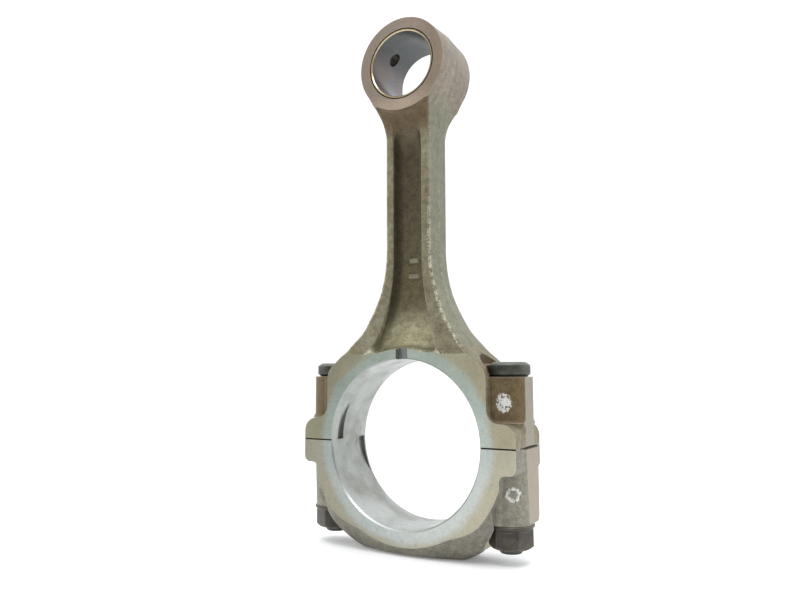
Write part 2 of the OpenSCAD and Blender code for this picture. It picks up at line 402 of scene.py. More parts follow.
def recess_side(z):
    """Half width of the recess: straight along the beam, and an arc that opens towards the ring."""
    below = np.maximum(RECESS_FLARE_Z - z, 0)
    return RECESS_HALF + RECESS_FLARE_R - np.sqrt(RECESS_FLARE_R ** 2 - np.minimum(below, 50) ** 2)


def rounded_corner(a, b, radius):
    """Distance in from two walls whose corner is rounded."""
    both = (a < radius) & (b < radius)
    return np.where(both, radius - np.hypot(radius - a, radius - b), np.minimum(a, b))


def recess_distance(x, z):
    """How far inside the recess's edge a spot is: from its sides and from the ring."""
    below = np.clip(RECESS_FLARE_Z - z, 0, 46)
    side = np.hypot(RECESS_HALF + RECESS_FLARE_R - np.abs(x), below) - RECESS_FLARE_R
    ring = 0.6 * (np.hypot(x, z) - RING_R + 1.0)
    return rounded_corner(side, ring, 4.5)


LEAN = np.radians(7)
WALL_D = 0.3 + RECESS_FILLET * (1 - np.cos(LEAN))
WALL_FOOT = RECESS_FILLET * (1 - np.sin(LEAN))


def recess_height(d, floor):
    """A flat floor, a quarter-round fillet and a steep wall, by the distance in from the edge."""
    inside = np.clip(0.3 + RECESS_FILLET - np.maximum(d, WALL_D), 0, RECESS_FILLET)
    curve = floor + RECESS_FILLET - np.sqrt(RECESS_FILLET ** 2 - inside ** 2)
    return curve + WALL_SLOPE * np.maximum(WALL_D - d, 0)


def rounded_edge(d, top, floor):
    """A flat top that starts to roll over just before the recess's wall cuts it."""
    meets = WALL_D - (top - floor - WALL_FOOT) / WALL_SLOPE
    run = np.clip(d - meets + 0.8 * EDGE_ROUND, 0, EDGE_ROUND)
    return top - (EDGE_ROUND - np.sqrt(EDGE_ROUND ** 2 - run ** 2))


def half_thickness(x, z):
    """The forging die as a height: flanges, the ring's and the eye's bosses, and the recess. The
    recess's floor climbs gently to the flanges at its top."""
    from_bore, from_eye = np.hypot(x, z), np.hypot(x, z - EYE_Z)
    ring = np.minimum(FACE_Y - WALL_SLOPE * (from_bore - RING_R), RAW_T)
    eye = np.minimum(FACE_Y - EYE_SLOPE * (from_eye - EYE_R), RAW_T)
    top = soft_max(soft_max(flange_thickness(z), ring, 1.2), eye, 2.4)
    d = recess_distance(x, z)
    closing = ramp(z, RECESS_TOP - 17, RECESS_TOP + 3)
    floor = WEB_T + 1.2 * ramp(z, 75, 50) + closing * (top - WEB_T + 0.6)
    edge = top - (top - rounded_edge(d, top, floor)) * (1 - closing)
    return soft_min(edge, recess_height(d, floor), 0.3)


print(
    "half depth at the flange", half_thickness(10, 120.0), "and in the recess",
    half_thickness(0, 120.0))

# %% [markdown]
# ## The grid over the die
# The grid's rows run across the rod from its centre line to its edge. They bend to follow the
# ring above the bore, and they crowd together where the recess ends, so that steep walls fall on
# grid lines. Each row then rolls over the edge's radius and down the drafted side to the parting
# line, and its mirror images close the loop.
# %% Rows, columns and the drafted sides
STATIONS = np.array([5.2, 4.6, 4.0, 3.4, 2.8, 2.2, 1.7, 1.25, 0.85, 0.55, 0.34, 0.2, 0.1,
                     0, -0.1, -0.25, -0.45, -0.68, -0.9])
EDGE_R = 2.0


def quarter_to_loop(quarter):
    """Mirrors a quarter section, from centre line to parting line, into a closed loop."""
    flip = lambda sx, sy: quarter * np.array([sx, sy, 1.0])
    turns = [flip(1, -1)[:, -2::-1], flip(-1, -1)[:, 1:], flip(-1, 1)[:, -2:0:-1]]
    return np.concatenate([quarter, *turns], 1)


def side_columns(points, normals, thickness, draft, flash):
    """The edge's radius, then the drafted side down to the parting line with its thin flash."""
    roll = np.radians(np.linspace(90, 0, 8)[1:])
    down = np.array([0.85, 0.7, 0.55, 0.42, 0.3, 0.2, 0.13, 0.08, 0.045, 0.02, 0])
    t = thickness[:, None]
    y = np.concatenate([t - EDGE_R + EDGE_R * np.sin(roll), (t - EDGE_R) * down], 1)
    rolled = np.repeat((EDGE_R * (np.cos(roll) - 1))[None], len(points), 0)
    fin = flash[:, None] * np.exp(-((t - EDGE_R) * down / 0.45) ** 2)
    out = np.concatenate([rolled, draft[:, None] * (1 - down) + fin], 1)
    x = points[:, :1] + normals[:, :1] * out
    z = points[:, 1:] + normals[:, 1:] * out
    return np.stack([x, -y, z], -1)


def row_lift(x):
    """How far a row rises in the middle to run round the ring instead of straight across."""
    sag = RING_R - np.sqrt(np.maximum(RING_R ** 2 - x ** 2, 1.0))
    return 5.0 - soft_min(sag, 5.0, 1.5)


def rod_grid():
    """Rows stop along the outline; each is a quarter section of the forging."""
    even = np.arange(0, rod_edge.length[-1], 0.95)
    fine_points, fine_normals = rod_edge.stops(np.arange(0, rod_edge.length[-1], 0.05))
    inner_z = fine_points[:, 1] - EDGE_R * fine_normals[:, 1]
    wanted = np.concatenate([RING_R - 5 + STATIONS / 0.6, RING_R - 5 + np.linspace(-0.6, 0.5, 6),
                             EYE_Z - EYE_R - np.linspace(-0.5, 1.5, 8)])
    extra = np.interp(wanted, inner_z, np.arange(0, rod_edge.length[-1], 0.05))
    stops = np.unique(np.concatenate([even, extra, [rod_edge.length[-1]]]).round(3))
    stops = stops[np.concatenate([[True], np.diff(stops) > 0.06])]
    stops[-1] = rod_edge.length[-1]
    points, normals = rod_edge.stops(stops)
    normals[0], normals[-1] = (1, 0), (0, 1)
    inner = points - EDGE_R * normals
    inner[-1, 0] = points[-1, 0] = 0
    side = recess_side(inner[:, 1])
    reach = side + EDGE_ROUND
    squeeze = np.minimum(1, 0.9 * inner[:, 0] / reach)[:, None]
    floor_part = np.linspace(0, 1, 6)[None, :-1] * (side - STATIONS[0])[:, None]
    wall_part = side[:, None] - STATIONS
    lip = squeeze * reach[:, None]
    flange_part = lip + np.linspace(0, 1, 8)[1:] * (inner[:, :1] - lip)
    x = np.concatenate([squeeze * floor_part, squeeze * wall_part, flange_part], 1)
    strength = (ramp(inner[:, 1], 12, 34) * ramp(inner[:, 1], 82, 50))[:, None]
    z = inner[:, 1:] + strength * (row_lift(x) - row_lift(inner[:, :1]))
    top = np.stack([x, -half_thickness(x, z), z], -1)
    thickness = -top[:, -1, 1]
    lug = ramp(points[:, 1], 14, 8)
    eye = ramp(points[:, 1], EYE_Z - 16, EYE_Z - 8)
    draft = 0.055 * thickness + 0.6 * lug
    draft = draft * (1 - eye) + eye * (EYE_MID_R - EYE_R - 0.12)
    flash = 0.2 * (1 - eye) + 0.12 * eye
    sides = side_columns(points, normals, thickness, draft, flash)
    return quarter_to_loop(np.concatenate([top, sides], 1))


grid = rod_grid()
rod = grid_piece("rod_forging", grid)
print("rod grid", grid.shape, "faces", len(rod.data.polygons))

# %% [markdown]
# ## Bolt bosses
# Each bolt runs in a round column that stands beside the ring. On a forging the column flows
# into its neighbours, so its section is a circle with small fillets out to the shoulder, and its
# foot swells into the lug. The same function makes the rod's two columns and the cap's.
# %% Columns for the bolts
BOSS_R = 11.3


def column(name, side, bottom, top, foot=None, taper=0.0, back=None):
    """A round column at one bolt: a circle swelling into fillets at its inner side and at its foot.
    It may taper downwards, and its back half may be squared off, with an eased lower corner."""
    angle = np.linspace(0, 2 * np.pi, 96, endpoint=False)
    toward_bore = np.clip(-np.cos(angle), 0, 1)
    wing = 2.6 * np.exp(-((np.abs(np.sin(angle)) - 0.93) / 0.16) ** 2) * toward_bore ** 0.5
    heights = np.linspace(bottom, top, 40)
    swell = np.zeros_like(heights)
    if foot is not None:
        gap = np.clip(1 - np.abs(heights - foot) / 2.2, 0, 1)
        swell = 2.2 * (1 - np.sqrt(1 - gap ** 2))
    radius = BOSS_R + swell[:, None] + wing - taper * ((top - heights) / (top - bottom))[:, None]
    if back is not None:
        square = np.minimum(back / np.maximum(np.sin(angle), 0.05), 17.0)
        corner = 0.6 * np.clip(2.5 - (heights - bottom), 0, 2.5)[:, None]
        squared = np.maximum(radius, soft_min(square, 15.5, 4.0)) - corner
        radius = np.where(np.sin(angle) > 0, squared, radius)
    x = side * (BOLT_X + radius * np.cos(angle))
    y = radius * np.sin(angle)
    return grid_piece(name, np.stack([x, y, np.repeat(heights[:, None], 96, 1)], -1))


for side in (-1, 1):
    machine(rod, column("boss", side, 0.0, SEAT_Z + 1.5, foot=LUG_TOP), "UNION")
print("rod with bosses", len(rod.data.polygons))

# %% [markdown]
# ## Raised forging marks
# Forgings carry a raised mark from the die. Here it is two plain level bars on the web, low and
# soft, because a die's marks are never sharp.
# %% Two bars on the web
MARK_Z, MARK_X, MARK_H = 85.0, 0.6, 1.0
MARK_APART, MARK_HALF_W, MARK_HALF_H = 3.9, 2.9, 1.2


def pad(name, x, z, half_x, half_z, power):
    """A low rounded pad: a superellipse that shrinks as it rises, like a worn stamp."""
    angle = np.linspace(0, 2 * np.pi, 48, endpoint=False)
    rise = np.radians(np.linspace(-40, 90, 12))[:, None]
    spread = np.cos(rise) ** 0.45
    c, s = np.cos(angle), np.sin(angle)
    around = (np.abs(c) ** power + np.abs(s) ** power) ** (-1 / power)
    px = x + half_x * spread * c * around
    pz = z + half_z * spread * s * around
    py = -(WEB_T + MARK_H * np.sin(rise)) + 0 * px
    return grid_piece(name, np.stack([px, py, pz], -1))


for rise in (MARK_APART, -MARK_APART):
    machine(rod, pad("bar", MARK_X, MARK_Z + rise, MARK_HALF_W, MARK_HALF_H, 6), "UNION")
print("marks stand", MARK_H, "mm high")

# %% [markdown]
# ## Machining: faces, bores and split
# Rod and cap go through the same first steps, so they share their cutters: both faces are ground
# flat, the ends bored with a small chamfer and the edges of the split eased. Each cutter carries
# the finish that it leaves, and the cut faces take it over.
# %% Cutters that rod and cap share
CHAMFER, EYE_CHAMFER = 0.7, 0.12


def bore_cutter(radius, z, chamfer, count=192, finish=BORED):
    """A cylinder along Y that widens at 45 degrees where it leaves each face."""
    past = 3.0
    mouth, face = radius + chamfer + past, FACE_Y + past
    profile = [(0, -face), (mouth, -face), (radius, -FACE_Y + chamfer),
               (radius, FACE_Y - chamfer), (mouth, face), (0, face)]
    return turned("bore_cutter", profile, "Y", (0, 0, z), count, finish)


def z_cutter(side, radius, bottom, top, finish=BORED, chamfer=0.0):
    """A drill or spot facer on a bolt's axis, with a chamfer where it breaks the split face."""
    bulge = [(radius, -chamfer), (radius + chamfer, 0), (radius, chamfer)] if chamfer else []
    profile = [(0, bottom), (radius, bottom), *bulge, (radius, top), (0, top)]
    return turned("z_cutter", profile, "Z", (side * BOLT_X, 0, 0), 96, finish)


def ease_split(piece, front=0.38, end=0.7):
    """Takes the sharp corners off round the split face with bars turned on edge."""
    for y in (-FACE_Y, FACE_Y):
        bar = [[(x, y, -front), (x, y + front, 0), (x, y, front), (x, y - front, 0)]
               for x in (-FAR, FAR)]
        machine(piece, grid_piece("bar", np.array(bar), DRILLED))
    for x in (-LUG_X, LUG_X):
        bar = [[(x, y, -end), (x + end, y, 0), (x, y, end), (x - end, y, 0)] for y in (-FAR, FAR)]
        machine(piece, grid_piece("bar", np.array(bar), DRILLED))


def mill_ends(piece):
    """Grinds both faces and mills the outer sides of the lugs."""
    machine(piece, block("slab", (-LUG_X, -FACE_Y, -FAR), (LUG_X, FACE_Y, 3 * FAR)), "INTERSECT")


def notch(piece, y, width):
    """The shell's tang notch: a wheel wider than the tang sinks in from the split line."""
    wheel, deep = 29.6, 1.8
    disc = [(0, y - width / 2), (wheel, y - width / 2), (wheel, y + width / 2), (0, y + width / 2)]
    machine(piece, turned("wheel", disc, "Y", (wheel - HOUSING_R - deep, 0, 0), 128, BORED))


mill_ends(rod)
machine(rod, bore_cutter(HOUSING_R, 0, CHAMFER))
machine(rod, bore_cutter(BUSH_OUTER_R, EYE_Z, EYE_CHAMFER, 144, DRILLED))
ease_split(rod)
print("bored", len(rod.data.polygons))

# %% [markdown]
# ## Machining: the rod's own cuts
# The bolt holes are drilled, then each head gets a seat outside the shoulder, a round pocket with
# a flat wall that stops the head from turning, and a scoop above it that clears the spanner. Last
# come the oil slot over the big end, the oil hole into the eye and the notch for the shell.
# %% Seats, pockets, oil slot, oil hole and notch
LEDGE_Z, SCOOP_R, HEAD_WALL, POCKET_R = 37.5, 12.9, 7.0, 12.0
SLOT_HALF, SLOT_DEPTH, SLOT_TOP = 3.2, 3.0, 45.7
OIL_ANGLE, OIL_R = np.radians(140), 3.5
for side in (-1, 1):
    machine(rod, z_cutter(side, HOLE_R, -5.0, LEDGE_Z + 2, DRILLED, 0.5))
    low, high = sorted((side * SHOULDER_X, side * FAR))
    machine(rod, block("seat", (low, -FAR, SEAT_Z), (high, FAR, SEAT_Z + 40)))
    pocket = z_cutter(side, POCKET_R, SEAT_Z, LEDGE_Z + 1, RAW)
    near, far = sorted((side * (BOLT_X - HEAD_WALL), side * FAR))
    machine(pocket, block("wall", (near, -FAR, 0), (far, FAR, FAR), RAW), "INTERSECT")
    machine(rod, pocket)
    machine(rod, z_cutter(side, SCOOP_R, LEDGE_Z, LEDGE_Z + 40, RAW))
machine(rod, block("slot", (-SLOT_HALF, -FACE_Y - 5, HOUSING_R - 3),
                   (SLOT_HALF, -FACE_Y + SLOT_DEPTH, SLOT_TOP), BORED))


def oil_drill():
    """A drill from the eye's centre out through its upper left wall, with a countersink outside."""
    along = np.array([np.cos(OIL_ANGLE), 0, np.sin(OIL_ANGLE)])
    sideways = np.array([-np.sin(OIL_ANGLE), 0, np.cos(OIL_ANGLE)])
    angle = np.linspace(0, 2 * np.pi, 64, endpoint=False)
    reach = np.array([6.0, EYE_MID_R - 0.9, EYE_MID_R + 4])[:, None, None]
    radius = np.array([OIL_R, OIL_R, OIL_R + 4])[:, None, None]
    ring = np.cos(angle)[:, None] * sideways + np.sin(angle)[:, None] * np.array([0, 1.0, 0])
    return grid_piece("drill", reach * along + radius * ring + np.array([0, 0, EYE_Z]), DRILLED)


machine(rod, oil_drill())
notch(rod, -8.5, 4.8)
crisp(rod)

# %% [markdown]
# ## The cap's rib
# The cap is a half ring with a rib round it. Its section is carried round the bore by an angle: a
# flat face, a slope back to the rib, a rounded rib edge. The rib's outer radius is the smaller of
# a circle and the distance down to the flat foot, so one formula gives both.
# %% The rib, carried round the bore
CAP_FACE_R, CAP_BOTTOM_R, RIB_R, RIB_T = 52.0, 47.7, 59.3, 10.5


def cap_face_r(degrees):
    """Outer radius of the ground face at an angle below the split: it narrows towards the foot."""
    return CAP_FACE_R + (CAP_BOTTOM_R - CAP_FACE_R) * ramp(degrees, 40, 64)


def rib_grid():
    """Rows go round from one side to the other under the bore; columns go across the section."""
    angle = np.radians(np.linspace(-182, 2, 260))
    down = np.maximum(-np.sin(angle), 1e-3)
    outer = soft_min(RIB_R, -FOOT_Z / down, 1.5)
    below = np.degrees(np.arcsin(np.clip(down, 0, 1)))
    face = cap_face_r(below)
    slope = (FACE_Y - RIB_T) / (RIB_R - CAP_FACE_R)
    rim = FACE_Y - slope * (outer - face)
    roll = np.radians(np.linspace(55, 0, 7))
    r = [np.full_like(outer, HOUSING_R - 6), face - STOCK / slope]
    y = [np.full_like(outer, RAW_T), np.full_like(outer, RAW_T)]
    for share in (0.35, 0.65, 0.9):
        r.append(face + share * (outer - face) - 0.5 * share)
        y.append(FACE_Y - slope * (r[-1] - face))
    for a in roll:
        r.append(outer - 1.8 + 1.8 * np.cos(a))
        y.append(np.minimum(rim, RIB_T + 4) - 0.6 - 1.8 + 1.8 * np.sin(a))
    r += [outer + 0.05, outer + 0.2]
    y += [np.full_like(outer, 0.5), np.full_like(outer, 0.0)]
    r, y = np.array(r).T, np.array(y).T
    r = np.concatenate([r, r[:, -2::-1]], 1)
    y = np.concatenate([-y, y[:, -2::-1]], 1)
    z = np.maximum(r * np.sin(angle)[:, None], FOOT_Z)
    return np.stack([r * np.cos(angle)[:, None], y, z], -1)


cap = grid_piece("cap_forging", rib_grid())
rib_x = SHOULDER_X + 1.5
machine(cap, block("keep", (-rib_x, -FAR, -FAR), (rib_x, FAR, 0), RAW), "INTERSECT")
print("rib", len(cap.data.polygons))

# %% [markdown]
# ## The cap's lugs and machining
# The lugs and the face's border are a second drafted plate, made upside down with the same tools
# as the rod. The bolt columns are a third shape, squarer at the back. All three are joined, and
# then ground, bored, drilled and spot-faced for the nuts as one piece.
# %% Lugs, columns and machining
CAP_LUG_DOWN, CAP_LUG_CORNER, CAP_FILLET = 11.4, 3.2, 3.2
CAP_STEP_X, CAP_BACK_Y, NUT_FACE_R = 48.9, 11.6, 12.5


def cap_plate():
    """The face plate: lug, fillet and the ring's arc, with drafted sides, made upside down."""
    start = np.degrees(np.arccos(CAP_STEP_X / CAP_FACE_R))
    fillet_x, meet_z = CAP_STEP_X + CAP_FILLET, CAP_FACE_R * np.sin(np.radians(start))
    bend = np.linspace(40.2, 90, 300)
    reach = cap_face_r(bend)
    edge = Walk(chain(
        line(LUG_FRONT_X, 0, LUG_FRONT_X, CAP_LUG_DOWN - CAP_LUG_CORNER),
        arc(LUG_FRONT_X - CAP_LUG_CORNER, CAP_LUG_DOWN - CAP_LUG_CORNER, CAP_LUG_CORNER, 0, 90),
        arc(fillet_x, CAP_LUG_DOWN + CAP_FILLET, CAP_FILLET, 270, 180),
        line(CAP_STEP_X, CAP_LUG_DOWN + CAP_FILLET, CAP_STEP_X, meet_z),
        arc(0, 0, CAP_FACE_R, start, 40),
        np.stack([reach * np.cos(np.radians(bend)), reach * np.sin(np.radians(bend))], 1)))
    stops = np.linspace(0, edge.length[-1], 170)
    points, normals = edge.stops(stops)
    normals[0], normals[-1] = (1, 0), (0, 1)
    inner = points - EDGE_R * normals
    inner[-1, 0] = points[-1, 0] = 0
    x = np.linspace(0, 1, 8) * inner[:, :1]
    z = inner[:, 1:] + 0 * x
    top = np.stack([x, np.full_like(x, -RAW_T), z], -1)
    thickness = np.full(len(points), RAW_T)
    draft = 0.055 * thickness + 0.5 * ramp(points[:, 1], 16, 8)
    sides = side_columns(points, normals, thickness, draft, np.full(len(points), 0.1))
    upside_down = quarter_to_loop(np.concatenate([top, sides], 1))
    return grid_piece("cap_plate", upside_down * np.array([1, 1, -1.0]))


machine(cap, cap_plate(), "UNION")
for side in (-1, 1):
    boss = column("boss", side, NUT_SEAT_Z - 0.02, 0.0, taper=1.0, back=CAP_BACK_Y)
    machine(cap, boss, "UNION")
machine(cap, block("keep", (-FAR, -FAR, FOOT_Z), (FAR, FAR, 0), RAW), "INTERSECT")
mill_ends(cap)
machine(cap, bore_cutter(HOUSING_R, 0, CHAMFER))
ease_split(cap)
for side in (-1, 1):
    machine(cap, z_cutter(side, HOLE_R, -FAR, 5.0, DRILLED, 0.5))
    machine(cap, z_cutter(side, NUT_FACE_R, -FAR, NUT_SEAT_Z, GROUND))
notch(cap, 11.2, 5.3)
crisp(cap)

# %% [markdown]
# ## The bush
# A thin steel-backed bush is a turned ring. Its outer corner is eased so that it can be pressed
# in, which leaves a fine dark groove between bush and eye. Its inner corner is chamfered wider.
# %% Turn the bush and drill its oil hole
ease, lead = 0.5, 0.5
bush = turned("bush_shell", [
    (BUSH_R, -FACE_Y + lead), (BUSH_R, 0), (BUSH_R, FACE_Y - lead),
    (BUSH_R + lead, FACE_Y), (BUSH_OUTER_R - ease, FACE_Y), (BUSH_OUTER_R, FACE_Y - ease),
    (BUSH_OUTER_R, -FACE_Y + ease), (BUSH_OUTER_R - ease, -FACE_Y), (BUSH_R + lead, -FACE_Y)],
    "Y", (0, 0, EYE_Z), 160, BORED, ring=True)
machine(bush, oil_drill())
crisp(bush)

# %% [markdown]
# ## The thread
# Bolt and nut share one thread: an M12 fine thread, whose radius falls in a V once per pitch
# along a helix. It fades in and out over a turn, as a rolled or tapped thread does.
# %% Shared screw thread
PITCH, THREAD_DEPTH = 1.5, 0.62


def thread(angle, z, crest, depth):
    """A radius that falls by depth in a V once per pitch along a helix."""
    phase = (z / PITCH + angle / (2 * np.pi)) % 1.0
    return crest - depth * np.clip(1.25 * (1 - np.abs(2 * phase - 1)) - 0.12, 0, 1)


print("thread root radius", BOLT_R - THREAD_DEPTH)

# %% [markdown]
# ## The bolts
# The bolt's head is a D: a circle cut by a flat that lies against the shoulder and stops the
# bolt from turning. By angle, its outline is the smaller of the circle's radius and the flat's
# distance over the cosine. The head is chamfered at the bottom and the top. The shank is ground to
# fit both holes, which is what keeps the cap in line with the rod.
# %% Bolts
HEAD_BOTTOM_CHAMFER, HEAD_TOP_CHAMFER, HEAD_FLAT = 1.5, 2.1, 6.6
THREAD_TOP_Z = -12.0


def bolt_grid(side):
    """Rows from the domed tip up the thread and shank, out under the head and over its top."""
    angle = np.linspace(0, 2 * np.pi, 96, endpoint=False)
    tip = [(0.01, 0.0), (3.2, 0.0), (4.7, 0.25), (5.25, 0.9), (5.4, 1.5)]
    rows = [(np.full(96, r), np.full(96, BOLT_TIP_Z + h)) for r, h in tip]
    for z in np.arange(BOLT_TIP_Z + 1.6, THREAD_TOP_Z, PITCH / 7):
        run_in = ramp(z, BOLT_TIP_Z + 1.2, BOLT_TIP_Z + 2.6) * ramp(z, THREAD_TOP_Z, THREAD_TOP_Z - 2)
        crest = BOLT_R - 0.6 * ramp(z, BOLT_TIP_Z + 2.6, BOLT_TIP_Z + 1.2)
        rows.append((thread(angle, z, crest, THREAD_DEPTH * run_in), np.full(96, z)))
    for z in (THREAD_TOP_Z, THREAD_TOP_Z + 0.4, 0, SEAT_Z - 3.5):
        rows.append((np.full(96, BOLT_R), np.full(96, z)))
    for z in (SEAT_Z - 3.2, SEAT_Z - 0.6, SEAT_Z):
        rows.append((np.full(96, BOLT_R - 0.25), np.full(96, z)))
    flat = np.where(np.cos(angle) < -0.05, HEAD_FLAT / np.maximum(-np.cos(angle), 0.05), 1e3)
    profile = [(HEAD_BOTTOM_CHAMFER, SEAT_Z), (HEAD_BOTTOM_CHAMFER - 0.1, SEAT_Z + 0.25),
               (0.1, SEAT_Z + 1.25), (0, SEAT_Z + 1.5), (0, BOLT_TOP_Z - 1.7), (0.15, BOLT_TOP_Z - 1.4),
               (HEAD_TOP_CHAMFER - 0.2, BOLT_TOP_Z - 0.12), (HEAD_TOP_CHAMFER, BOLT_TOP_Z)]
    slant = np.minimum(1 / np.maximum(-np.cos(angle), 0.05), 3)
    for inset, z in profile:
        outline = soft_min(HEAD_R - inset, flat - inset * slant, 0.7)
        rows.append((np.minimum(outline, HEAD_R - inset), np.full(96, z)))
    for share in (0.8, 0.5, 0.01):
        last = rows[-1][0] if share < 0.79 else outline
        rows.append((last * share, np.full(96, BOLT_TOP_Z)))
    radius, z = np.array([r for r, _ in rows]), np.array([h for _, h in rows])
    return np.stack([side * (BOLT_X + radius * np.cos(angle)), radius * np.sin(angle), z], -1)


bolts = {side: crisp(grid_piece(name, bolt_grid(side), RAW))
         for name, side in (("left_fitted_bolt", -1), ("right_fitted_bolt", 1))}

# %% [markdown]
# ## The nuts
# A flange nut is the smaller of a hexagon and a cone at every height, which gives the curved
# corners of its chamfer, on a conical flange. Its flange faces the cap, so the cap needs no washer.
# Each nut stops at its own angle when it is tight, so the two are turned differently.
# %% Nuts
NUT_FLAT_R, FLANGE_RIM, CONE_TOP = 9.0, 1.3, 2.9


def nut_grid(side, turn):
    """A closed section carried round: seat, flange rim, cone, hexagon, chamfer, threaded bore."""
    angle = np.linspace(0, 2 * np.pi, 144, endpoint=False)
    hexagon = NUT_FLAT_R / np.cos((angle - turn) % (np.pi / 3) - np.pi / 6)
    hexagon = soft_min(hexagon, 2 * NUT_FLAT_R / np.sqrt(3) - 0.12, 0.12)
    full = lambda value: np.full(144, value)
    flange = [(HOLE_R + 1.0, 0), (FLANGE_R - 0.9, 0), (FLANGE_R - 0.25, 0.2), (FLANGE_R, 0.55),
              (FLANGE_R, FLANGE_RIM), (FLANGE_R - 0.3, FLANGE_RIM + 0.25)]
    rows = [(full(radius), full(NUT_SEAT_Z - down)) for radius, down in flange]
    for share in (0.0, 0.35, 0.7, 1.0):
        cone = FLANGE_R - 0.5 - share * 1.3 if share < 1 else NUT_FLAT_R + 0.05
        down = FLANGE_RIM + 0.3 + share * (CONE_TOP - FLANGE_RIM - 0.3)
        rows.append((np.maximum(hexagon, cone), full(NUT_SEAT_Z - down)))
    rows.append((hexagon, full(NUT_SEAT_Z - CONE_TOP - 0.35)))
    for height in (2.6, 1.9, 1.5, 1.2, 0.9, 0.6, 0.3, 0.0):
        cone = 8.55 + height * 1.55
        rows.append((np.minimum(hexagon, cone), full(NUT_BOTTOM_Z + height)))
    rows.append((full(HOLE_R + 0.9), full(NUT_BOTTOM_Z)))
    for z in np.arange(NUT_BOTTOM_Z + 0.9, NUT_SEAT_Z - 0.9, PITCH / 7):
        fade_in = (ramp(z, NUT_BOTTOM_Z + 0.7, NUT_BOTTOM_Z + 1.6)
                   * ramp(z, NUT_SEAT_Z - 0.7, NUT_SEAT_Z - 1.6))
        rows.append((thread(angle, z, HOLE_R + 0.02, -0.6 * fade_in), full(z)))
    rows.append((full(HOLE_R + 0.15), full(NUT_SEAT_Z - 0.85)))
    radius, z = np.array([r for r, _ in rows]), np.array([h for _, h in rows])
    return np.stack([side * (BOLT_X + radius * np.cos(angle)), radius * np.sin(angle), z], -1)


nuts = {side: crisp(grid_piece(name, nut_grid(side, np.radians(turn)), RAW, ring=True), 22)
        for name, side, turn in (("left_flange_nut", -1, 30), ("right_flange_nut", 1, 11))}

# %% [markdown]
# ## Shared shader groups
# Three effects turn up in every metal here, so each is a node group, made once: the grain of a
# blasted or ground skin, soft patches of stain, and the bright line along an edge, partly rubbed
# by handling and partly a painted highlight. The edge mask compares the true surface normal with
# one rounded over a small radius.
# %% Node groups


def new_group(name, inputs, outputs):
    """An empty shader group. An input without a value is a vector; the rest are numbers."""
    tree = bpy.data.node_groups.new(name, "ShaderNodeTree")
    for label, value in inputs.items():
        kind = "NodeSocketVector" if value is None else "NodeSocketFloat"
        socket = tree.interface.new_socket(label, in_out="INPUT", socket_type=kind)
        if value is not None:
            socket.default_value = value
    for label in outputs:
        tree.interface.new_socket(label, in_out="OUTPUT", socket_type="NodeSocketFloat")
    return tree, add(tree, "NodeGroupInput").outputs, add(tree, "NodeGroupOutput").inputs


def noise(tree, place, scale, detail, **more):
    """A noise texture's value at a position."""
    inputs = {"Vector": place, "Scale": scale, "Detail": detail}
    inputs.update({name.title(): value for name, value in more.items()})
    return add(tree, "ShaderNodeTexNoise", inputs).outputs[0]


def grain_group():
    """Grain: coarse pits and fine speckle, as a height and as a tone from 0 to 1."""
    tree, given, result = new_group(
        "grain", {"Vector": None, "Size": 1.0, "Pits": 0.5}, ["Height", "Tone"])
    scale = calc(tree, "DIVIDE", 1000.0, given["Size"])
    place = given["Vector"]
    fine = calc(tree, "MULTIPLY", noise(tree, place, scale, 4.0, roughness=0.6), 0.6)
    coarse = noise(tree, place, calc(tree, "MULTIPLY", scale, 0.28), 3.0)
    half = calc(tree, "MULTIPLY", scale, 0.5)
    cells = add(tree, "ShaderNodeTexVoronoi", {"Vector": place, "Scale": half}).outputs["Distance"]
    pits = calc(tree, "MULTIPLY", fade(tree, cells, 0.35, 0.0), given["Pits"])
    bumps = calc(tree, "ADD", fine, calc(tree, "MULTIPLY", coarse, 0.8))
    tree.links.new(calc(tree, "SUBTRACT", bumps, pits), result["Height"])
    tone = calc(tree, "ADD", fine, calc(tree, "MULTIPLY", coarse, 0.4))
    tree.links.new(fade(tree, tone, 0.35, 0.65), result["Tone"])
    return tree


def patches_group():
    """Patches: a soft mask of stains at one size, with a share that says how much they cover."""
    tree, given, result = new_group(
        "patches", {"Vector": None, "Size": 20.0, "Cover": 0.5, "Soft": 0.12}, ["Mask"])
    scale = calc(tree, "DIVIDE", 1000.0, given["Size"])
    cloud = noise(tree, given["Vector"], scale, 5.0, roughness=0.55, distortion=0.4)
    middle = calc(tree, "SUBTRACT", 0.72, calc(tree, "MULTIPLY", given["Cover"], 0.44))
    low = calc(tree, "SUBTRACT", middle, given["Soft"])
    high = calc(tree, "ADD", middle, given["Soft"])
    tree.links.new(fade(tree, cloud, low, high), result["Mask"])
    return tree


def rubbed_and_highlit_edges_group():
    """Edge wear and painted highlight: 1 on corners that hands and tools rub and that catch light,
    broken up by a grain.
    """
    tree, given, result = new_group("rubbed_and_highlit_edges", {"Vector": None, "Break": 0.5}, ["Mask"])
    rounded = add(tree, "ShaderNodeBevel", {"Radius": 0.55 * MM}, samples=4).outputs[0]
    true = add(tree, "ShaderNodeNewGeometry").outputs["Normal"]
    dot = add(tree, "ShaderNodeVectorMath", {0: rounded, 1: true}, operation="DOT_PRODUCT")
    same = dot.outputs["Value"]
    rough = calc(tree, "SUBTRACT", noise(tree, given["Vector"], 700.0, 3.0), 0.55)
    broken = calc(tree, "MULTIPLY", rough, given["Break"])
    rubbed = fade(tree, calc(tree, "ADD", fade(tree, same, 0.995, 0.90), broken), 0.15, 0.8)
    tree.links.new(calc(tree, "MULTIPLY", rubbed, fade(tree, same, 0.999, 0.985)), result["Mask"])
    return tree


GRAIN, PATCHES, RUBBED_AND_HIGHLIT_EDGES = grain_group(), patches_group(), rubbed_and_highlit_edges_group()
print("groups", [g.name for g in bpy.data.node_groups])

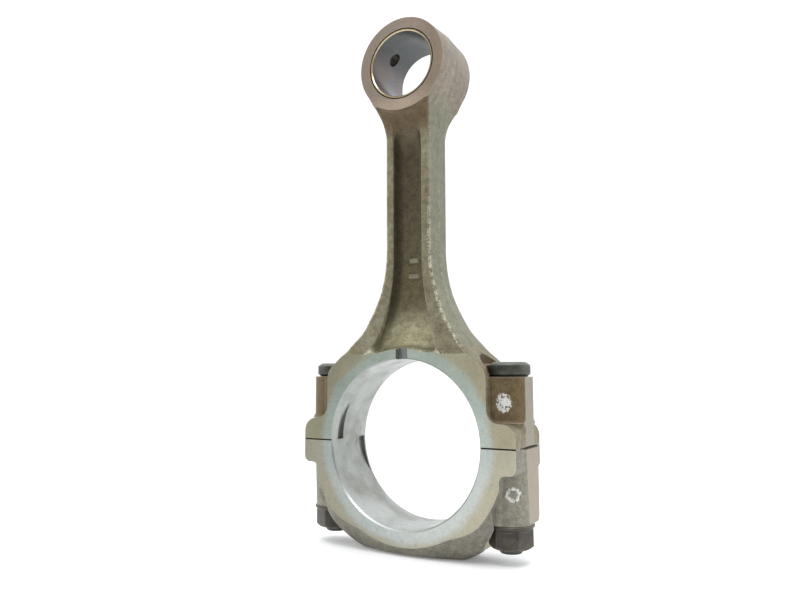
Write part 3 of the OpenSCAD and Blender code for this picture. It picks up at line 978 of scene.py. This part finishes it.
# %% [markdown]
# ## What all finishes share
# Each metal starts from a Principled BSDF with its constants on its own sockets. Only colour,
# roughness and the bumped normal come from nodes. The zones of colour are masks on Object
# coordinates: a distance from a bore or a height, broken up by the patches so that no border is
# clean. A zone holds where all of its masks hold, so its masks are multiplied.
# %% A metal's common parts


def tint(colour, red, green, blue):
    """A colour with each channel scaled."""
    return colour[0] * red, colour[1] * green, colour[2] * blue


class Finish:
    """A material under construction, with its object coordinates and surface normal at hand."""

    def __init__(self, name, **constants):
        self.material = bpy.data.materials.new(name)
        self.material.use_nodes = True
        self.tree = self.material.node_tree
        self.shader = self.tree.nodes["Principled BSDF"]
        for socket, value in constants.items():
            self.shader.inputs[
                socket.replace("_", " ").title().replace("Ior", "IOR")].default_value = value
        self.shader.inputs["Specular IOR Level"].default_value = 0.3
        self.place = add(self.tree, "ShaderNodeTexCoord").outputs["Object"]
        self.x, self.y, self.z = add(self.tree, "ShaderNodeSeparateXYZ", {0: self.place}).outputs

    def use(self, group, **values):
        made = add(self.tree, "ShaderNodeGroup", node_tree=group)
        self.tree.links.new(self.place, made.inputs["Vector"])
        for label, value in values.items():
            made.inputs[label].default_value = value
        return made.outputs

    def calc(self, operation, a, b=0.0):
        return calc(self.tree, operation, a, b)

    def chained(self, operation, first, rest):
        for value in rest:
            first = self.calc(operation, first, value)
        return first

    def times(self, first, *rest):
        return self.chained("MULTIPLY", first, rest)

    def plus(self, first, *rest):
        return self.chained("ADD", first, rest)

    def minus(self, a, b):
        return self.calc("SUBTRACT", a, b)

    def size(self, socket):
        return self.calc("ABSOLUTE", socket)

    def across(self, a, b):
        """The length of a flat vector: the square root of the squares' sum."""
        return self.calc("SQRT", self.plus(self.times(a, a), self.times(b, b)))

    def normal(self):
        normal = add(self.tree, "ShaderNodeNewGeometry").outputs["Normal"]
        return add(self.tree, "ShaderNodeSeparateXYZ", {0: normal}).outputs

    def drawn_out(self, scale, detail, **more):
        """Noise that is stretched along the axes with a small scale, as lines or rings."""
        place = add(self.tree, "ShaderNodeMapping", {"Vector": self.place, "Scale": Vector(scale)})
        return noise(self.tree, place.outputs[0], 1.0, detail, **more)

    def fade(self, value, start, end):
        return fade(self.tree, value, start * MM, end * MM)

    def ramp(self, value, start, end):
        return fade(self.tree, value, start, end)

    def mix(self, factor, a, b, how="MIX"):
        a = (*a, 1.0) if isinstance(a, tuple) else a
        b = (*b, 1.0) if isinstance(b, tuple) else b
        return mix(self.tree, factor, a, b, how)

    def lay(self, colour, over, *masks):
        """A colour with another laid over it where all the masks hold."""
        return self.mix(self.times(*masks), colour, over)

    def filtered(self, colour, by):
        return self.mix(1.0, colour, by, "MULTIPLY")

    def distance(self, centre, stretch):
        """Distance from a spot in millimetres, with each axis weighted."""
        shift = Vector([-c * s * MM for c, s in zip(centre, stretch)])
        moved = add(self.tree, "ShaderNodeMapping", {"Vector": self.place, "Location": shift,
                                                     "Scale": Vector(stretch)}).outputs[0]
        return add(self.tree, "ShaderNodeVectorMath", {0: moved}, operation="LENGTH").outputs["Value"]

    def finish(self, colour, roughness, height, bump):
        self.tree.links.new(colour, self.shader.inputs["Base Color"])
        self.tree.links.new(roughness, self.shader.inputs["Roughness"])
        made = add(
            self.tree, "ShaderNodeBump", {"Height": height, "Strength": 1.0, "Distance": bump * MM})
        self.tree.links.new(made.outputs[0], self.shader.inputs["Normal"])
        return self.material


print("a finish starts from", Finish.__name__)

# %% [markdown]
# ## The forging's skin
# A forging is blasted with shot, which leaves a fine grain over mill scale. The skin is a mid
# olive with lighter and browner patches. The recess is darkened by oil stain and painted shade,
# with painted light at its foot; painted shade darkens its wall and the scoop over each bolt head.
# The neck is darker, the drafted sides are paler with drawn-out lines, and the corners are bright,
# partly rubbed by handling and partly a painted highlight, as are the tops of the raised bars. The
# inspector's dab of paint on the rod's lug and the ring of paint on the cap's are generic marks.
# %% Shot-blasted forging skin


def forging_skin(name, light, mid, brown, boss, side, dab=None):
    """Blasted scale: mid tone with lighter and browner patches, a recess dark from oil and painted
    shade, edges bright from rubbing and painted highlight.
    """
    f = Finish(name, metallic=0.2)
    height, tone = f.use(GRAIN, Size=0.8, Pits=0.5)
    broad = f.use(PATCHES, Size=28.0, Cover=0.5, Soft=0.2)["Mask"]
    small = f.use(PATCHES, Size=5.0, Cover=0.4, Soft=0.15)["Mask"]
    wide_x, deep_y = f.size(f.x), f.size(f.y)
    colour = f.mix(broad, mid, light)
    colour = f.lay(colour, brown, small, 0.5)
    # the recess and its closing top: oil stain and painted shade, darkest above; painted light makes it
    # lighter and greener at its foot
    in_recess = f.times(f.fade(deep_y, 9.4, 6.5), f.fade(wide_x, 17.0, 14.0),
                        f.fade(f.z, 44, 48), f.fade(f.z, 166, 160))
    closing = f.times(f.fade(wide_x, 8.8, 7.0), f.fade(deep_y, 13.5, 11),
                      f.fade(f.z, 136, 148), f.fade(f.z, 165, 157))
    in_recess = f.calc("MAXIMUM", in_recess, closing)
    deep = f.mix(f.fade(f.z, 120, 62), tint(brown, 0.36, 0.34, 0.30), tint(brown, 0.75, 0.92, 0.85))
    deep = f.mix(f.fade(f.z, 68, 52), deep, tint(light, 2.1, 2.05, 1.9))
    colour = f.lay(colour, deep, in_recess, 0.7)
    # the bolt bosses, the neck under the eye, and painted shade in the scoop over each bolt head
    on_boss = f.times(f.fade(wide_x, 42.5, 44.5), f.fade(deep_y, 15.4, 13.0),
                      f.fade(f.size(f.z), 7.5, 12.5))
    colour = f.lay(colour, boss, on_boss, 0.85)
    neck = f.times(f.fade(f.z, 148, 160), f.fade(f.z, 176, 168), f.fade(deep_y, 7.0, 10.5))
    colour = f.lay(colour, tint(brown, 0.72, 0.68, 0.68), neck, 0.9)
    axis_x = f.minus(wide_x, BOLT_X * MM)
    from_bolt = f.across(axis_x, f.y)
    # painted shade: the scoop over each bolt head is darkened
    scoop_shade = f.times(f.fade(from_bolt, 13.4, 12.95), f.fade(f.z, 32, 33))
    colour = f.lay(colour, tint(boss, 0.8, 0.75, 0.75), scoop_shade)
    # the drafted sides, pale with drawn-out lines, and painted shade on the wall of the recess
    facing = f.normal()
    from_bore = f.across(f.x, f.z)
    front, outward = f.size(facing[1]), f.times(facing[0], f.calc("SIGN", f.x))
    on_side = f.times(f.ramp(front, 0.75, 0.35), f.ramp(outward, 0.5, 0.8), f.fade(f.z, 42, 50))
    lines = f.drawn_out((900, 900, 28), 4.0, roughness=0.6)
    # painted shade: the recess's inward-facing wall is darkened
    wall = f.times(f.ramp(outward, -0.2, -0.75), f.fade(f.z, 44, 60), f.fade(deep_y, 9.6, 9.0))
    colour = f.lay(colour, tint(brown, 0.22, 0.24, 0.26), wall, 0.75)
    side_tone = f.mix(lines, tint(side, 0.72, 0.72, 0.70), tint(side, 1.25, 1.25, 1.27))
    colour = f.lay(colour, side_tone, on_side, 0.7)
    # round the eye, a lighter grainy band on the flare's corner and on the rim over the bore, and the
    # raised bars, lighter from rubbing and as a painted highlight
    eye_tone = f.mix(broad, (0.205, 0.165, 0.135), (0.27, 0.225, 0.195))
    colour = f.lay(colour, eye_tone, f.times(f.fade(f.z, 160, 176), f.ramp(front, 0.9, 0.5)), 0.7)
    corner = f.times(f.ramp(front, 0.22, 0.5), f.ramp(front, 0.985, 0.88), f.ramp(outward, 0.1, 0.25),
                     f.fade(f.z, 135, 85), f.fade(f.z, 42, 47), f.ramp(tone, 0.2, 0.75))
    colour = f.lay(colour, (0.48, 0.47, 0.36), corner, 0.7)
    rim = f.times(f.fade(from_bore, 49.5, 47.2), f.fade(f.z, 40.5, 43), f.fade(deep_y, 10.0, 13.5))
    colour = f.lay(colour, (0.46, 0.45, 0.33), rim, f.ramp(tone, 0.2, 0.8))
    # partly rubbed and partly a painted highlight: the tops of the raised bars are lighter
    raised_rub_and_highlight = f.times(f.fade(deep_y, WEB_T + 0.25, WEB_T + 0.75), f.fade(wide_x, 3.0, 2.4),
                     f.fade(f.z, 94, 93), f.fade(f.z, 76, 77))
    colour = f.lay(colour, tint(light, 1.1, 1.1, 1.05), raised_rub_and_highlight, 0.75)
    colour = f.filtered(colour, f.mix(tone, (0.72, 0.72, 0.72), (1.28, 1.27, 1.25)))
    # edges lighter, partly from rubbing and partly as a painted highlight
    worn = f.use(RUBBED_AND_HIGHLIT_EDGES, Break=0.9)["Mask"]
    colour = f.lay(colour, (0.48, 0.46, 0.38), worn, 0.55)
    rough = f.minus(f.plus(f.times(tone, 0.12), 0.46), f.times(worn, 0.15))
    if dab:
        centre, stretch, hole = dab
        ragged = noise(f.tree, f.place, 900.0, 4.0, roughness=0.7)
        edge = f.plus(f.distance(centre, stretch), f.times(f.minus(ragged, 0.5), 3.2 * MM))
        paint = f.times(f.fade(edge, 3.4, 2.9), f.fade(edge, hole - 0.5, hole + 0.4),
                        f.ramp(tone, 0.1, 0.45))
        colour = f.lay(colour, (0.72, 0.72, 0.69), paint, 0.9)
        height = f.plus(height, f.times(paint, 0.4))
    return f.finish(colour, rough, height, 0.16)


rod_skin = forging_skin(
    "rod_skin", light=(0.245, 0.235, 0.162), mid=(0.172, 0.153, 0.093), brown=(0.15, 0.105, 0.050),
    boss=(0.118, 0.077, 0.032), side=(0.20, 0.205, 0.155),
    dab=((50.0, -10.0, 19.9), (1.0, 0.35, 0.72), 0.0))
cap_skin = forging_skin(
    "cap_skin", light=(0.265, 0.255, 0.215), mid=(0.175, 0.165, 0.133), brown=(0.165, 0.145, 0.11),
    boss=(0.24, 0.225, 0.185), side=(0.2, 0.19, 0.15),
    dab=((53.0, -9.6, -20.2), (1.0, 0.35, 1.0), 1.9))
print("skins", rod_skin.name, cap_skin.name)

# %% [markdown]
# ## The ground faces
# Both faces of both ends are ground flat, and the lugs are milled at their sides. The steel is
# greenish and bright beside the big bore, where the crank's cheeks polish it, and turns beige
# outwards. Round the eye it is pinkish, with broad stains.
# %% Ground faces


def ground_face(name, polished, beige, eye, flat):
    """Ground steel: bright beside the bore, beige outwards, pinkish at the eye and the lug flats."""
    f = Finish(name, metallic=0.55)
    grain = f.use(GRAIN, Size=0.35, Pits=0.15)
    broad = f.use(PATCHES, Size=14.0, Cover=0.5, Soft=0.22)["Mask"]
    small = f.use(PATCHES, Size=2.2, Cover=0.12, Soft=0.05)["Mask"]
    ragged = f.plus(f.across(f.x, f.z), f.times(f.minus(broad, 0.5), 2.2 * MM))
    # painted shade: the polished band beside the bore is darker at its top and brighter at its bottom
    shaded = f.mix(f.fade(f.z, -45, 45), (0.92, 0.93, 0.96), (0.74, 0.77, 0.75))
    colour = f.mix(f.fade(ragged, 43.5, 48.5), f.filtered(shaded, polished), beige)
    pinkish = f.mix(f.fade(f.z, EYE_Z - 12, EYE_Z - 22), eye, tint(eye, 1.45, 1.4, 1.3))
    pinkish = f.mix(f.times(f.fade(f.x, 2, 20), 0.8), pinkish, tint(eye, 0.75, 0.7, 0.62))
    colour = f.lay(colour, pinkish, f.fade(f.z, 90, 120))
    colour = f.lay(colour, tint(eye, 0.72, 0.68, 0.66), broad, f.fade(f.z, 120, 150), 0.55)
    # painted shade: the ground face darkens towards the left
    colour = f.filtered(colour, f.mix(f.fade(f.x, 28, -48), (1.0, 1.0, 1.0), (0.68, 0.70, 0.70)))
    on_flat = f.fade(f.size(f.x), LUG_X - 0.35, LUG_X - 0.1)
    colour = f.lay(colour, flat, on_flat)
    colour = f.lay(colour, (0.20, 0.165, 0.11), small, 0.45)
    colour = f.filtered(colour, f.mix(grain["Tone"], (0.90, 0.90, 0.90), (1.09, 1.09, 1.09)))
    colour = f.filtered(colour, f.mix(broad, (0.93, 0.94, 0.93), (1.05, 1.04, 1.03)))
    # edges lighter, partly from rubbing and partly as a painted highlight
    worn = f.use(RUBBED_AND_HIGHLIT_EDGES, Break=0.3)["Mask"]
    colour = f.lay(colour, (0.62, 0.63, 0.58), worn, 0.3)
    rough = f.plus(f.times(broad, 0.12), 0.36)
    return f.finish(colour, rough, grain["Height"], 0.03)


rod_face = ground_face("rod_ground", polished=(0.545, 0.60, 0.545), beige=(0.385, 0.355, 0.245),
                       eye=(0.43, 0.35, 0.285), flat=(0.265, 0.235, 0.185))
cap_face = ground_face("cap_ground", polished=(0.60, 0.63, 0.59), beige=(0.45, 0.42, 0.32),
                       eye=(0.37, 0.30, 0.245), flat=(0.29, 0.25, 0.195))
print("faces", rod_face.name, cap_face.name)

# %% [markdown]
# ## The honed bore
# The housing is honed round to hold the bearing shells, so its scratches run round the axis. Oil
# leaves cloudy dull patches, and darker stains beside the split. Painted shade darkens the upper
# half, and the chamfer carries a painted highlight at its lower left.
# %% Bored surfaces


def bored_surface(name, bright, dull):
    """Honed bore: fine rings round the axis, cloudy dull patches and darker stains near the split."""
    f = Finish(name, metallic=0.9)
    cloud = f.use(PATCHES, Size=16.0, Cover=0.45, Soft=0.2)["Mask"]
    streak = f.use(PATCHES, Size=4.0, Cover=0.2, Soft=0.1)["Mask"]
    rings = f.drawn_out((60, 4200, 60), 3.0)
    colour = f.mix(cloud, bright, dull)
    near_split = f.fade(f.size(f.z), 9.0, 1.0)
    stain = f.times(f.plus(f.times(near_split, 0.55), 0.25), streak)
    colour = f.lay(colour, (0.20, 0.17, 0.13), stain)
    colour = f.filtered(colour, f.mix(rings, (0.86, 0.86, 0.86), (1.12, 1.12, 1.12)))
    # painted shade: the bore darkens towards its top
    colour = f.lay(colour, (0.16, 0.17, 0.15), f.fade(f.z, -40, 40), 0.35)
    # painted highlight: the chamfer is bright at its lower left
    at_chamfer = f.fade(f.size(f.y), FACE_Y - CHAMFER - 0.02, FACE_Y - CHAMFER + 0.02)
    lit = f.times(f.fade(f.z, 8, -22), f.fade(f.x, 12, -18))
    colour = f.lay(colour, f.mix(lit, (0.34, 0.37, 0.34), (0.66, 0.68, 0.67)), at_chamfer)
    rough = f.plus(f.times(cloud, 0.16), f.times(rings, 0.08), 0.22)
    return f.finish(colour, rough, rings, 0.012)


bore_skin = bored_surface("bored_steel", bright=(0.43, 0.455, 0.44), dull=(0.29, 0.295, 0.27))
print("bore", bore_skin.name)

# %% [markdown]
# ## The dark fasteners
# Bolts and nuts are phosphated: a thin dark coat that holds oil. It is nearly black, lighter on
# what faces up, with bare metal on rubbed edges and a painted highlight along them. The drilled
# holes are as dark.
# %% Dark phosphated fasteners


def phosphated(name, dark, light):
    """Phosphate coat: near black, with edges lighter from rubbing and painted highlight, and dusty
    patches.
    """
    f = Finish(name, metallic=0.45)
    grain = f.use(GRAIN, Size=0.5, Pits=0.4)
    dusty = f.use(PATCHES, Size=7.0, Cover=0.45, Soft=0.18)["Mask"]
    colour = f.mix(dusty, dark, tint(dark, 1.6, 1.55, 1.45))
    colour = f.filtered(colour, f.mix(grain["Tone"], (0.75, 0.75, 0.75), (1.25, 1.25, 1.25)))
    # edges lighter, partly from rubbing and partly as a painted highlight
    worn = f.use(RUBBED_AND_HIGHLIT_EDGES, Break=0.7)["Mask"]
    # lighter where the surface faces up
    lighter_facing_up = f.times(f.ramp(f.normal()[2], 0.3, 0.95), 0.55)
    colour = f.lay(colour, light, f.calc("MAXIMUM", f.times(worn, 0.85), lighter_facing_up))
    rough = f.plus(f.times(grain["Tone"], 0.15), 0.38)
    return f.finish(colour, rough, grain["Height"], 0.05)


bolt_skin = phosphated("bolt_phosphate", (0.052, 0.056, 0.046), (0.23, 0.25, 0.225))
nut_skin = phosphated("nut_phosphate", (0.055, 0.050, 0.042), (0.22, 0.195, 0.155))
drilled = phosphated("drilled_dark", (0.030, 0.024, 0.018), (0.05, 0.042, 0.032))
print("coats", bolt_skin.name, nut_skin.name, drilled.name)

# %% [markdown]
# ## The bush's metal
# The running surface is blue-grey and smooth, darker at the top where no light reaches. Its ends
# show the bronze, and the eased outer corner makes a dark groove against the eye.
# %% Bush metal


def bush_metal(name):
    """A blue-grey running surface, and bare bronze where the ends are cut."""
    f = Finish(name)
    cloud = f.use(PATCHES, Size=12.0, Cover=0.5, Soft=0.25)["Mask"]
    rings = f.drawn_out((80, 3500, 80), 3.0)
    run = f.mix(cloud, (0.165, 0.17, 0.19), (0.235, 0.185, 0.155))
    run = f.mix(f.fade(f.z, EYE_Z + 2, EYE_Z + 13), run, (0.085, 0.09, 0.088))
    at_end = f.fade(f.size(f.y), FACE_Y - lead + 0.15, FACE_Y - lead + 0.3)
    colour = f.mix(at_end, run, (0.66, 0.53, 0.32))
    from_eye = f.across(f.x, f.minus(f.z, EYE_Z * MM))
    groove = f.fade(from_eye, BUSH_OUTER_R - ease - 0.08, BUSH_OUTER_R - ease + 0.02)
    colour = f.lay(colour, (0.012, 0.010, 0.008), groove)
    f.tree.links.new(f.minus(0.85, f.times(groove, 0.7)), f.shader.inputs["Metallic"])
    colour = f.filtered(colour, f.mix(rings, (0.9, 0.9, 0.9), (1.08, 1.08, 1.08)))
    rough = f.plus(f.times(cloud, 0.15), 0.24)
    return f.finish(colour, rough, rings, 0.01)


bronze = bush_metal("bush_bronze")
print("bush", bronze.name)

# %% [markdown]
# ## Dressing and mounting
# Every piece gets its finishes, in the order of the cutters' material numbers, and is tied to the
# body that carries it. It stands in for its CAD node, which is hidden.
# %% Put the finishes on the pieces


def wear(piece, body, node, materials):
    """Gives a piece its materials and its body, and hides the CAD node that it stands in for."""
    for index, material in enumerate(materials):
        piece.data.materials[index] = material
    while len(piece.data.materials) > len(materials):
        piece.data.materials.pop()
    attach(piece, body)
    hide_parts(node)


wear(rod, "rod", "rod", [rod_skin, rod_face, bore_skin, drilled])
wear(cap, "cap", "cap", [cap_skin, cap_face, bore_skin, drilled])
wear(bush, "rod", "small_end_bush", [bronze, bronze, bronze, drilled])
for side, hand in ((-1, "left"), (1, "right")):
    wear(bolts[side], f"{hand}_bolt", f"{hand}_bolt", [bolt_skin])
    wear(nuts[side], f"{hand}_nut", f"{hand}_nut", [nut_skin])
print("materials", [m.name for m in bpy.data.materials])
